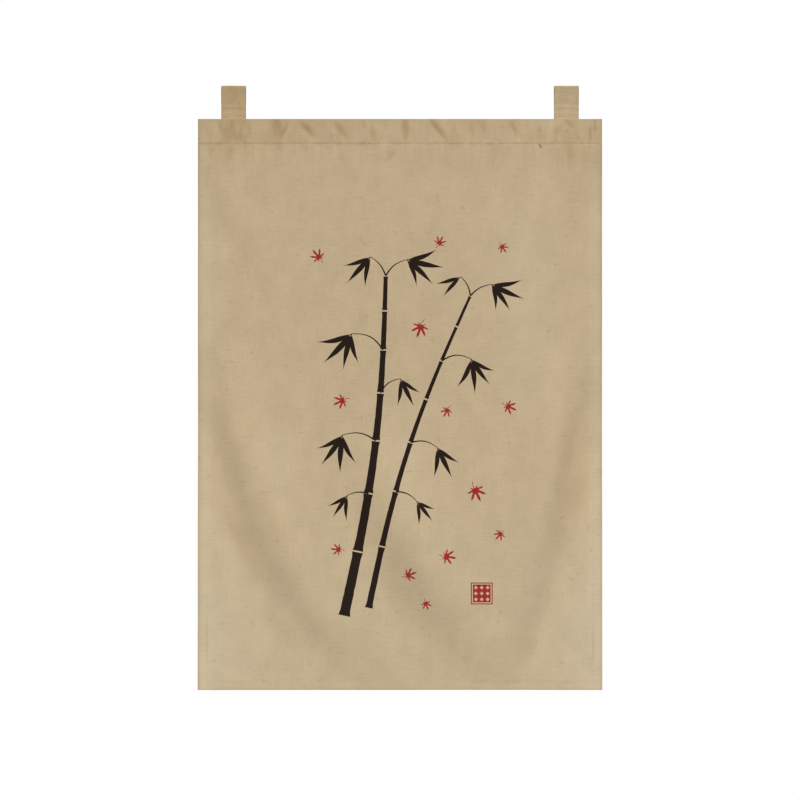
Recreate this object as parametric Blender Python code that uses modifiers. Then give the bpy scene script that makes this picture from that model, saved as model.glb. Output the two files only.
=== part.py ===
"""A noren: one hemmed linen panel that hangs from two tab loops on a door rod.

Metres, +Z up. The origin is on the rod's axis, midway between the tabs, and the front of the
cloth faces -Y. A drop is a distance down from the panel's top edge.
"""

import math

import bpy

# The panel: its finished size and the bands that are turned over at its edges
PANEL_WIDTH = 0.850
PANEL_DROP = 1.200
HEADING_DEPTH = 0.051
SIDE_HEM = 0.020
BOTTOM_HEM = 0.018

# Thickness of the cloth in one layer, in a narrow hem and in the heading
CLOTH = 0.0012
HEM_CLOTH = 0.0018
HEADING_CLOTH = 0.0022

# The tabs: straps folded double over the rod, sewn shut below it and to the heading's back
TAB_WIDTH = 0.052
TAB_RISE = 0.070
TAB_INSET = 0.049
TAB_TUNNEL = 0.048
TAB_CLOTH = 0.0012
TAB_TAIL = 0.048
ROD_ROOM = 0.020
SEWN_GAP = 0.0003
CUSP = 0.0015
SET_BACK_RUN = 0.016

# The mesh of the panel
COLUMN_PITCH = 0.024
ROW_PITCH = 0.025
HEM_STEP = 0.0010
ARC_STEPS = 28
BEND_STEPS = 6

# The heading hangs flat, and the folds grow from nothing between these two drops
FOLDS_START = 0.058
FOLDS_FULL = 0.200

# Long slack folds. Each runs down through three points, given as (across, drop), across being
# measured to the right of the middle. A fold is a ridge and a trough side by side, each at its
# spread from that line. The ridge stands forward by the height, and the trough back by as much.
# The ridge is to the left of the line, or to its right where the height is negative. The height
# shrinks steadily from the first point to the last, where only the foot share of it is left.
FOLDS = [
    # across_1, drop_1, across_2, drop_2, across_3, drop_3, spread, height, foot_share
    (-0.368, 0.640, -0.301, 0.885, -0.133, 1.140, 0.036, -0.0122, 0.38),
    (0.362, 0.640, 0.320, 0.895, 0.240, 1.170, 0.034, 0.0175, 0.36),
    (-0.048, 0.835, 0.026, 1.000, 0.146, 1.150, 0.051, -0.0125, 0.40),
    (-0.347, 0.223, -0.320, 0.280, -0.288, 0.350, 0.029, -0.0028, 0.80),
    (0.362, 0.150, 0.353, 0.240, 0.340, 0.330, 0.034, 0.0034, 1.00),
]

# How far above its first point a fold begins, how far below that point it is full, and how far
# either side of its last point it fades out
FOLD_FADE_IN = 0.190
FOLD_FULL_AFTER = 0.095
FOLD_FADE_OUT = 0.130

# Broad rounded swells of the cloth towards the front, or away from it where height is negative.
# The two largest have their middles below the hem, so that the lower corners flare forward.
SWELLS = [
    # across, drop, reach_across, reach_drop, height
    (-0.450, 1.300, 0.190, 0.400, 0.0260),
    (0.450, 1.300, 0.160, 0.400, 0.0250),
    (0.060, 0.360, 0.260, 0.260, 0.0020),
    (-0.060, 0.700, 0.260, 0.220, -0.0035),
    (0.265, 0.430, 0.060, 0.260, 0.0050),
    (-0.090, 1.050, 0.110, 0.180, 0.0050),
    (0.030, 0.810, 0.060, 0.120, 0.0040),
]

LINEN = (0.51, 0.40, 0.25, 1.0)
TAB_LINEN = (0.44, 0.33, 0.20, 1.0)

ROD_AXIS_TO_TOP = ROD_ROOM / 2 + TAB_CLOTH
PANEL_TOP = ROD_AXIS_TO_TOP - TAB_RISE
HEADING_BACK = 0.0
PANEL_FRONT = HEADING_BACK - HEADING_CLOTH
TAB_CENTRE = PANEL_WIDTH / 2 - TAB_INSET - TAB_WIDTH / 2
TAIL_CENTRE = HEADING_BACK + SEWN_GAP + TAB_CLOTH


def smooth_step(low, high, value):
    """0 up to low, 1 from high on, and a smooth rise between them."""
    share = min(1.0, max(0.0, (value - low) / (high - low)))
    return share * share * (3 - 2 * share)


def fold_line(drop, across_1, drop_1, across_2, drop_2, across_3, drop_3):
    """Across and slope, at this drop, of the parabola that runs through a fold's three points."""
    first_slope = (across_2 - across_1) / (drop_2 - drop_1)
    second_slope = (across_3 - across_2) / (drop_3 - drop_2)
    bend = (second_slope - first_slope) / (drop_3 - drop_1)
    across = across_1 + first_slope * (drop - drop_1) + bend * (drop - drop_1) * (drop - drop_2)
    slope = first_slope + bend * (2 * drop - drop_1 - drop_2)
    return across, slope


def fold_lift(across, drop, fold):
    """How far one long fold brings the cloth towards the front at a point."""
    *points, spread, height, foot_share = fold
    first_drop, last_drop = points[1], points[5]
    held_drop = min(last_drop + FOLD_FADE_OUT, max(first_drop - FOLD_FADE_IN, drop))
    centre, slope = fold_line(held_drop, *points)
    away = (across - centre) / math.hypot(1.0, slope) / spread
    grown = smooth_step(first_drop - FOLD_FADE_IN, first_drop + FOLD_FULL_AFTER, drop)
    faded = smooth_step(last_drop - FOLD_FADE_OUT, last_drop + FOLD_FADE_OUT, drop)
    run = min(1.0, max(0.0, (drop - first_drop) / (last_drop - first_drop)))
    kept_height = height * (1 - (1 - foot_share) * run)
    return -kept_height * away * math.exp((1 - away * away) / 2) * grown * (1 - faded)


def swell_lift(across, drop, swell):
    """How far one broad swell brings the cloth towards the front at a point."""
    centre, centre_drop, reach_across, reach_drop, height = swell
    away = ((across - centre) / reach_across) ** 2 + ((drop - centre_drop) / reach_drop) ** 2
    return height * math.exp(-away)


def lift(across, drop):
    """How far the hanging cloth stands in front of its flat place at a point."""
    total = sum(fold_lift(across, drop, fold) for fold in FOLDS)
    total += sum(swell_lift(across, drop, swell) for swell in SWELLS)
    return total * smooth_step(FOLDS_START, FOLDS_FULL, drop)


def layers(across, drop):
    """Thickness of the cloth at a point, with what is turned over at the edges."""
    if drop < HEADING_DEPTH:
        return HEADING_CLOTH
    in_side_hem = abs(across) > PANEL_WIDTH / 2 - SIDE_HEM
    in_bottom_hem = drop > PANEL_DROP - BOTTOM_HEM
    return HEM_CLOTH if in_side_hem or in_bottom_hem else CLOTH


def stations(low, high, low_hem, high_hem, pitch):
    """Places of the mesh lines from low to high, with a close pair at each hem's inner edge."""
    half_step = HEM_STEP / 2
    first, last = low + low_hem + half_step, high - high_hem - half_step
    count = math.ceil((last - first) / pitch)
    body = [first + (last - first) * i / count for i in range(count + 1)]
    low_edge = [low, low + low_hem / 2, low + low_hem - half_step]
    high_edge = [high - high_hem + half_step, high - high_hem / 2, high]
    return low_edge + body + high_edge


def linen(name, colour):
    """A plain matt cloth."""
    material = bpy.data.materials.new(name)
    material.use_nodes = True
    shader = material.node_tree.nodes["Principled BSDF"]
    shader.inputs["Base Color"].default_value = colour
    shader.inputs["Roughness"].default_value = 0.9
    shader.inputs["Metallic"].default_value = 0.0
    return material


def put_in(collection, piece, material):
    """Moves a new object to the curtain's collection and gives it its material."""
    for other in list(piece.users_collection):
        other.objects.unlink(piece)
    collection.objects.link(piece)
    piece.data.materials.append(material)


def make_panel(collection):
    """The hanging sheet: a grid shaped by its folds, thickened backwards by its layers."""
    half_width = PANEL_WIDTH / 2
    columns = stations(-half_width, half_width, SIDE_HEM, SIDE_HEM, COLUMN_PITCH)
    drops = stations(0.0, PANEL_DROP, HEADING_DEPTH, BOTTOM_HEM, ROW_PITCH)
    drops.reverse()
    bpy.ops.mesh.primitive_grid_add(
        x_subdivisions=len(columns) - 1, y_subdivisions=len(drops) - 1, size=1
    )
    panel = bpy.context.object
    panel.name = panel.data.name = "panel"
    thick = panel.vertex_groups.new(name="layers")
    for vertex in panel.data.vertices:
        column = round((vertex.co.x + 0.5) * (len(columns) - 1))
        row = round((vertex.co.y + 0.5) * (len(drops) - 1))
        across, drop = columns[column], drops[row]
        vertex.co = (across, PANEL_FRONT - lift(across, drop), PANEL_TOP - drop)
        thick.add([vertex.index], layers(across, drop) / HEADING_CLOTH, "REPLACE")
    shell = panel.modifiers.new("cloth", "SOLIDIFY")
    shell.thickness = HEADING_CLOTH
    shell.offset = -1
    shell.vertex_group = thick.name
    panel.data.shade_smooth()
    put_in(collection, panel, linen("panel linen", LINEN))


def tangent_angle(point, radius):
    """Angle of the spot where a line from point, below the rod, leaves the rod's back."""
    distance = math.hypot(*point)
    return math.atan2(point[1], point[0]) + math.acos(radius / distance)


def teardrop(radius, foot):
    """One loop of strap as (depth, height) points: up the back, over the rod, down the front."""
    start = tangent_angle(foot, radius)
    sweep = math.pi - 2 * start
    turns = [start + sweep * i / ARC_STEPS for i in range(ARC_STEPS + 1)]
    return [(radius * math.cos(turn), radius * math.sin(turn)) for turn in turns]


def tab_outlines():
    """The strap's outside and the room for the rod, seen from the curtain's end."""
    sewn_height = ROD_AXIS_TO_TOP - TAB_TUNNEL
    tail_foot = PANEL_TOP - TAB_TAIL
    bend_foot = PANEL_TOP
    bend_top = bend_foot + SET_BACK_RUN
    bends = [i / BEND_STEPS for i in range(BEND_STEPS + 1)]
    middle = [
        (TAIL_CENTRE * (1 - smooth_step(0, 1, share)), bend_foot + share * (bend_top - bend_foot))
        for share in bends
    ]
    back = [(TAIL_CENTRE + TAB_CLOTH, tail_foot)]
    back += [(depth + TAB_CLOTH, height) for depth, height in middle]
    back.append((TAB_CLOTH, sewn_height))
    front = [(-TAB_CLOTH, sewn_height)]
    front += [(depth - TAB_CLOTH, height) for depth, height in reversed(middle)]
    front.append((TAIL_CENTRE - TAB_CLOTH, tail_foot))
    outside = back + teardrop(ROD_AXIS_TO_TOP, (TAB_CLOTH, sewn_height)) + front
    cusp = (0.0, sewn_height + CUSP)
    room = [cusp] + teardrop(ROD_ROOM / 2, cusp)
    return outside, room


def make_tab(collection, name, across):
    """One tab: the strap's outline, drawn from the end and given the strap's width."""
    curve = bpy.data.curves.new(name, "CURVE")
    curve.dimensions = "2D"
    curve.fill_mode = "BOTH"
    curve.extrude = TAB_WIDTH / 2
    for outline in tab_outlines():
        spline = curve.splines.new("POLY")
        spline.points.add(len(outline) - 1)
        for point, (depth, height) in zip(spline.points, outline):
            point.co = (depth, height, 0.0, 1.0)
        spline.use_cyclic_u = True
    tab = bpy.data.objects.new(name, curve)
    tab.rotation_euler = (math.pi / 2, 0.0, math.pi / 2)
    tab.location = (across, 0.0, 0.0)
    put_in(collection, tab, linen(name + " linen", TAB_LINEN))


def main():
    """Clears the scene and makes the curtain."""
    for leftover in list(bpy.data.objects):
        bpy.data.objects.remove(leftover)
    curtain = bpy.data.collections.new("noren curtain")
    bpy.context.scene.collection.children.link(curtain)
    make_panel(curtain)
    make_tab(curtain, "tab_left", -TAB_CENTRE)
    make_tab(curtain, "tab_right", TAB_CENTRE)


main()
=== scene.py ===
"""Looks of a noren: a hemmed linen panel on two tab loops, printed with bamboo and maple leaves.

Metres, +Z up. The frame's origin is on the axis of the rod that the tabs would hold, midway
between them, and the front of the cloth faces -Y. A place on the panel is given as (across, drop):
across is measured to the right of the middle, and a drop down from the panel's top edge.
"""

import logging
import math
from collections.abc import Callable, Iterable
from dataclasses import dataclass, field
from enum import Enum

import bpy
import numpy as np
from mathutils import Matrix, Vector, kdtree, noise
from mathutils.geometry import delaunay_2d_cdt


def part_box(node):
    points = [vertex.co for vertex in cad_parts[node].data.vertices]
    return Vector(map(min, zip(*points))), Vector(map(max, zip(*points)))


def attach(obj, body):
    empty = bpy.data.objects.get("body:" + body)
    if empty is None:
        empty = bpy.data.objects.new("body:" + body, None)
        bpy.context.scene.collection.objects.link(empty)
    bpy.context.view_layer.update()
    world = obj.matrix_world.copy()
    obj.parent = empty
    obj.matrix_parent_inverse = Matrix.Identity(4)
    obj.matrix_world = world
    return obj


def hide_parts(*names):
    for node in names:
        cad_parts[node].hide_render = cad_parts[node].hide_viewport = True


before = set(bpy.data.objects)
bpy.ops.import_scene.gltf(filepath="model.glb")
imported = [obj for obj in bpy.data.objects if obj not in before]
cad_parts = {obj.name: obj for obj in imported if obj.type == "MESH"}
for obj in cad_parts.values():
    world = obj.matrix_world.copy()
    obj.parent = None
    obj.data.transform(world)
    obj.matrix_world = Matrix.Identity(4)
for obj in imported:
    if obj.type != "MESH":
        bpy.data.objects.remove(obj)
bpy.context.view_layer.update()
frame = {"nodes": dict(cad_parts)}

log = logging.getLogger("noren")

ROOT = "root"
CLOTH_MAP = "cloth"
# The mesh attribute that holds the painted shade.
SHADE = "shade"
LAYERS = "layers"

Array = np.ndarray
Piece = bpy.types.Object
Socket = bpy.types.NodeSocket
Colour = tuple[float, float, float]
Outline = list[tuple[float, float]]
Pairs = tuple[tuple[float, float], ...]


def smooth_step(low: float, high: float, value: Array) -> Array:
    """Rises smoothly from 0 at low to 1 at high."""
    share = np.clip((value - low) / (high - low), 0.0, 1.0)
    return share * share * (3.0 - 2.0 * share)


def bell(away: Array, reach: float) -> Array:
    """A bell curve: 1 where nothing is away, falling off over the reach."""
    return np.exp(-((away / reach) ** 2))


def near_edge(distance: Array, reach: float) -> Array:
    """1 at an edge, falling evenly to 0 at the reach from it."""
    return 1 - np.clip(distance / reach, 0.0, 1.0)


def unit(rows: Array) -> Array:
    """The rows, each scaled to a length of 1."""
    return rows / np.linalg.norm(rows, axis=1)[:, None]


@dataclass(frozen=True)
class Lumps:
    """Smooth fixed noise: the size of its lumps across and down, and a seed that picks the pattern."""

    across: float
    down: float
    seed: float

    def at(self, across: Array, drop: Array) -> Array:
        """The noise at each place, from about -1 to 1."""
        flat = zip(np.ravel(across) / self.across, np.ravel(drop) / self.down)
        values = [noise.noise(Vector((right, down, self.seed))) for right, down in flat]
        return np.array(values).reshape(np.shape(across))


def pick(*pieces: Piece) -> None:
    """Selects these pieces alone and makes the first of them the active one."""
    bpy.ops.object.select_all(action="DESELECT")
    for piece in pieces:
        piece.select_set(True)
    bpy.context.view_layer.objects.active = pieces[0]


def start_piece(add: Callable, **settings: object) -> Piece:
    """Adds a primitive, with its place in its mesh.

    Args:
        add: The operator that adds the primitive.
        settings: The primitive's size and place.

    Returns:
        The new piece, selected and active.
    """
    bpy.ops.object.select_all(action="DESELECT")
    add(**settings)
    bpy.ops.object.transform_apply(location=True, rotation=True, scale=True)
    return bpy.context.object


def resize_mesh(scale: tuple[float, float, float]) -> None:
    """Scales all of the active piece's mesh about its middle."""
    bpy.ops.object.mode_set(mode="EDIT")
    bpy.ops.mesh.select_all(action="SELECT")
    bpy.ops.transform.resize(value=scale)
    bpy.ops.object.mode_set(mode="OBJECT")


def draw_out(piece: Piece, facing: Vector, steps: Iterable[tuple]) -> None:
    """Extrudes one end of a piece, step by step.

    Args:
        piece: The active piece.
        facing: Where the faces of that end point.
        steps: How far each step goes, and how it scales the end.
    """
    bpy.ops.object.mode_set(mode="EDIT")
    bpy.ops.mesh.select_all(action="DESELECT")
    bpy.ops.object.mode_set(mode="OBJECT")
    for face in piece.data.polygons:
        face.select = face.normal.dot(facing) > 0.9
    bpy.ops.object.mode_set(mode="EDIT")
    for move, scale in steps:
        bpy.ops.mesh.extrude_region_move(TRANSFORM_OT_translate={"value": move})
        bpy.ops.transform.resize(value=scale)
    bpy.ops.object.mode_set(mode="OBJECT")


def mesh_piece(name: str, points: Array, faces: list) -> Piece:
    """Makes a new object at the origin.

    Args:
        name: Name of the piece and of its mesh.
        points: One row of x, y and z for each vertex.
        faces: Vertex numbers of each face.

    Returns:
        The new object.
    """
    mesh = bpy.data.meshes.new(name)
    mesh.from_pydata(points.tolist(), [], faces)
    mesh.update()
    piece = bpy.data.objects.new(name, mesh)
    bpy.context.scene.collection.objects.link(piece)
    return piece


def dress(piece: Piece, *materials: bpy.types.Material) -> None:
    """Gives a piece its materials and smooths its shading."""
    for material in materials:
        piece.data.materials.append(material)
    piece.data.shade_smooth()


def write_cloth(piece: Piece, places: Array, shades: Array) -> None:
    """Writes what the linen reads.

    Args:
        piece: The open sheet.
        places: The cloth map, in metres along the threads, for each vertex.
        shades: How much painted shade each vertex has, from 0 to 1.
    """
    layer = piece.data.uv_layers.new(name=CLOTH_MAP)
    corners = np.zeros(len(piece.data.loops), np.int32)
    piece.data.loops.foreach_get("vertex_index", corners)
    layer.data.foreach_set("uv", places[corners].astype(np.float32).ravel())
    attribute = piece.data.attributes.new(SHADE, "FLOAT", "POINT")
    attribute.data.foreach_set("value", np.clip(shades, 0.0, 1.0).astype(np.float32))


def thicken(piece: Piece, full: float, layers: Array, offset: float, back_slots: int) -> None:
    """Gives an open sheet its thickness.

    Args:
        piece: The open sheet.
        full: The greatest thickness.
        layers: The thickness at each vertex.
        offset: -1 keeps the front where it is, and 0 grows both ways.
        back_slots: How many material slots further on the back finds its own.
    """
    group = piece.vertex_groups.new(name=LAYERS)
    rounded = np.round(layers / full, 3)
    for share in np.unique(rounded):
        members = np.nonzero(rounded == share)[0].tolist()
        group.add(members, float(share), "REPLACE")
    shell = piece.modifiers.new("cloth", "SOLIDIFY")
    shell.thickness = full
    shell.offset = offset
    shell.vertex_group = group.name
    shell.material_offset = back_slots
    pick(piece)
    bpy.ops.object.modifier_apply(modifier=shell.name)
    piece.vertex_groups.clear()


@dataclass(frozen=True)
class SlackFold:
    """A long slack fold: a ridge and a trough side by side along a gently bent line.

    Its height shrinks steadily down the line, where only the foot share of it is left at the end.
    """

    across_1: float
    drop_1: float
    across_2: float
    drop_2: float
    across_3: float
    drop_3: float
    spread: float
    height: float
    foot_share: float
    fade_in: float = 0.190
    full_after: float = 0.095
    fade_out: float = 0.130

    def at(self, across: Array, drop: Array) -> Array:
        """How far the fold brings the cloth towards the front.

        Args:
            across: Places across the cloth.
            drop: Places down the cloth.

        Returns:
            The lift at each place.
        """
        first_slope = (self.across_2 - self.across_1) / (self.drop_2 - self.drop_1)
        second_slope = (self.across_3 - self.across_2) / (self.drop_3 - self.drop_2)
        bend = (second_slope - first_slope) / (self.drop_3 - self.drop_1)
        held = np.clip(drop, self.drop_1 - self.fade_in, self.drop_3 + self.fade_out)
        below = held - self.drop_1
        centre = self.across_1 + first_slope * below + bend * below * (held - self.drop_2)
        slope = first_slope + bend * (2 * held - self.drop_1 - self.drop_2)
        away = (across - centre) / np.hypot(1.0, slope) / self.spread
        grown = smooth_step(self.drop_1 - self.fade_in, self.drop_1 + self.full_after, drop)
        faded = smooth_step(self.drop_3 - self.fade_out, self.drop_3 + self.fade_out, drop)
        run = np.clip((drop - self.drop_1) / (self.drop_3 - self.drop_1), 0.0, 1.0)
        kept_height = self.height * (1 - (1 - self.foot_share) * run)
        return -kept_height * away * np.exp((1 - away * away) / 2) * grown * (1 - faded)


@dataclass(frozen=True)
class SoftOval:
    """A soft oval on the cloth, strongest in its middle: a swell, a short crease, or a patch of painted
    shade (painted light where its amount is negative).

    A crease is a ridge where its amount is positive. The lean is in degrees from upright, and
    positive where the lower end is to the right.
    """

    across: float
    drop: float
    half_width: float
    half_length: float
    amount: float
    lean: float = 0.0

    def at(self, across: Array, drop: Array) -> Array:
        """What the oval adds.

        Args:
            across: Places across the cloth.
            drop: Places down the cloth.

        Returns:
            The lift towards the front, or the painted shade, at each place.
        """
        turn = math.radians(self.lean)
        right, down = across - self.across, drop - self.drop
        along = right * math.sin(turn) + down * math.cos(turn)
        beside = right * math.cos(turn) - down * math.sin(turn)
        return self.amount * np.exp(-((beside / self.half_width) ** 2 + (along / self.half_length) ** 2))


FOLDS = tuple(SlackFold(*row) for row in (
    # across_1, drop_1, across_2, drop_2, across_3, drop_3, spread, height, foot_share
    (-0.368, 0.64, -0.301, 0.885, -0.133, 1.14, 0.036, -0.0122, 0.38),
    (0.362, 0.64, 0.32, 0.895, 0.24, 1.17, 0.034, 0.0175, 0.36),
    (-0.048, 0.835, 0.026, 1.0, 0.146, 1.15, 0.051, -0.0125, 0.4),
    (-0.347, 0.223, -0.32, 0.28, -0.288, 0.35, 0.029, -0.0028, 0.8),
    (0.362, 0.15, 0.353, 0.24, 0.34, 0.33, 0.034, 0.0034, 1.0),
))

SWELLS = tuple(SoftOval(*row) for row in (
    # across, drop, half_width, half_length, height
    (-0.45, 1.3, 0.19, 0.4, 0.026),
    (0.45, 1.3, 0.16, 0.4, 0.025),
    (0.06, 0.36, 0.26, 0.26, 0.002),
    (-0.06, 0.7, 0.26, 0.22, -0.0035),
    (0.265, 0.43, 0.06, 0.26, 0.005),
    (-0.09, 1.05, 0.11, 0.18, 0.005),
    (0.03, 0.81, 0.06, 0.12, 0.004),
))

CREASES = tuple(SoftOval(*row) for row in (
    # across, drop, half_width, half_length, height, lean
    (-0.3955, 0.024, 0.008, 0.016, 0.0009),
    (-0.3776, 0.0189, 0.005, 0.013, -0.0011, 17.0),
    (-0.356, 0.026, 0.006, 0.018, -0.0007, -14.0),
    (-0.318, 0.023, 0.005, 0.016, -0.0009, 6.0),
    (-0.259, 0.018, 0.0085, 0.018, -0.0017, 14.0),
    (-0.244, 0.029, 0.0034, 0.02, -0.0011, -27.0),
    (-0.229, 0.027, 0.006, 0.018, 0.0009, -26.0),
    (-0.1961, 0.0238, 0.0055, 0.019, -0.0019, 40.0),
    (-0.182, 0.02, 0.0065, 0.016, 0.0008, 36.0),
    (-0.1256, 0.024, 0.006, 0.02, -0.0014, 33.0),
    (-0.143, 0.03, 0.007, 0.015, 0.0008, 24.0),
    (-0.0766, 0.014, 0.005, 0.01, -0.001, 16.0),
    (-0.0581, 0.032, 0.0045, 0.014, -0.0011, 4.0),
    (-0.049, 0.029, 0.006, 0.014, 0.0007, 2.0),
    (-0.0057, 0.0252, 0.008, 0.018, 0.001),
    (0.0112, 0.0235, 0.0055, 0.021, -0.0018, 4.0),
    (0.0789, 0.023, 0.0052, 0.024, -0.002, 37.0),
    (0.093, 0.019, 0.0065, 0.018, 0.0009, 34.0),
    (0.113, 0.024, 0.004, 0.012, -0.0008),
    (0.1515, 0.0271, 0.005, 0.014, -0.0007, 10.0),
    (0.1757, 0.0235, 0.0045, 0.014, -0.0009, 6.0),
    (0.2388, 0.021, 0.005, 0.016, -0.0012, 27.0),
    (0.251, 0.026, 0.006, 0.014, 0.0007, 20.0),
    (0.2924, 0.025, 0.0045, 0.012, -0.0008, 4.0),
    (0.33, 0.028, 0.006, 0.01, -0.0007),
    (0.356, 0.012, 0.005, 0.014, -0.0009, 50.0),
    (0.381, 0.038, 0.006, 0.01, 0.0009, 8.0),
    (0.4, 0.034, 0.003, 0.016, -0.0015),
    (0.4098, 0.019, 0.003, 0.015, -0.0016, -2.0),
    (-0.0189, 0.0799, 0.0055, 0.016, -0.0009, -47.0),
    (-0.041, 0.076, 0.008, 0.013, 0.0007, -20.0),
    (-0.1224, 0.085, 0.004, 0.008, -0.0006, 4.0),
    (0.031, 0.07, 0.006, 0.018, -0.0006, 8.0),
    (0.198, 0.079, 0.007, 0.022, -0.0006, -8.0),
    (0.356, 0.076, 0.007, 0.024, -0.0007, 5.0),
    (-0.356, 0.072, 0.008, 0.016, -0.0006, -8.0),
    (-0.3985, 0.074, 0.0032, 0.011, -0.0007),
))

# Patches of painted shade and painted light: shade along the folds' dark bands, in the heading and at the
# hems' stitch lines, and painted light in paler places.
PAINTED_LIGHT_PATCHES = tuple(SoftOval(*row) for row in (
    # across, drop, half_width, half_length, painted shade (painted light where negative), lean
    (0.265, 0.4, 0.075, 0.23, -0.18),
    (-0.43, 1.15, 0.11, 0.3, -0.24),
    (0.44, 1.15, 0.11, 0.28, -0.3),
    (0.01, 1.13, 0.19, 0.2, 0.1),
    (-0.2, 0.95, 0.13, 0.11, 0.07),
    (0.415, 0.7, 0.022, 0.26, -0.16),
    (0.415, 0.17, 0.022, 0.07, -0.12),
    (-0.352, 1.183, 0.026, 0.0028, 0.26),
    (0.23, 1.1825, 0.08, 0.0026, 0.14),
    (0.35, 1.183, 0.026, 0.0028, 0.28),
    (0.23, 1.192, 0.09, 0.006, -0.16),
    (-0.406, 1.096, 0.0022, 0.055, 0.46),
    (0.4065, 1.104, 0.0024, 0.046, 0.58),
    (0.352, 0.049, 0.028, 0.0055, -0.28),
    (-0.351, 0.049, 0.028, 0.005, -0.18),
    (0.225, 0.0485, 0.07, 0.004, -0.2),
    (-0.332, 0.895, 0.019, 0.11, 0.34, 27.0),
    (-0.252, 1.07, 0.018, 0.075, 0.24, 42.0),
    (-0.27, 0.848, 0.016, 0.085, 0.2, 23.0),
    (-0.243, 0.99, 0.012, 0.03, -0.14, 30.0),
    (-0.25, 0.72, 0.035, 0.065, -0.18),
    (0.372, 0.8, 0.018, 0.1, 0.24, -12.0),
    (0.303, 0.948, 0.012, 0.034, -0.22, -20.0),
    (0.275, 1.115, 0.02, 0.03, 0.16, -30.0),
    (-0.395, 0.01, 0.012, 0.016, 0.1),
    (-0.34, 1.194, 0.06, 0.008, 0.1),
    (0.35, 1.194, 0.05, 0.008, 0.1),
    (-0.405, 0.33, 0.04, 0.2, -0.1),
    (-0.01, 0.705, 0.06, 0.09, -0.1),
    (-0.04, 0.42, 0.2, 0.2, 0.04),
    (-0.4, 0.01, 0.19, 0.05, 0.14),
    (-0.41, 0.042, 0.02, 0.012, -0.16),
    (0.335, 0.006, 0.09, 0.012, -0.22),
    (-0.389, 0.024, 0.009, 0.02, -0.16),
    (-0.017, 0.026, 0.015, 0.022, -0.15),
    (0.4, 0.0525, 0.07, 0.004, -0.28),
    (-0.01, 0.0525, 0.045, 0.004, -0.18),
    (0.4, 0.03, 0.06, 0.04, 0.05),
    (-0.356, 0.066, 0.036, 0.018, 0.14),
    (0.385, 0.08, 0.05, 0.03, 0.1),
    (-0.256, 0.018, 0.018, 0.022, 0.14),
    (-0.176, 0.01, 0.016, 0.014, 0.16),
    (0.01, 0.014, 0.014, 0.02, 0.14),
    (0.15, 0.008, 0.022, 0.012, 0.14),
    (-0.412, 0.0525, 0.014, 0.0035, 0.22),
    (-0.35, 0.003, 0.024, 0.004, -0.2),
    (0.35, 0.003, 0.024, 0.004, -0.1),
    (-0.368, 0.013, 0.012, 0.012, 0.12),
    (-0.234, 0.037, 0.014, 0.012, 0.12),
    (0.412, 1.19, 0.014, 0.008, 0.18),
    (-0.099, 1.19, 0.03, 0.008, -0.14),
))


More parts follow.
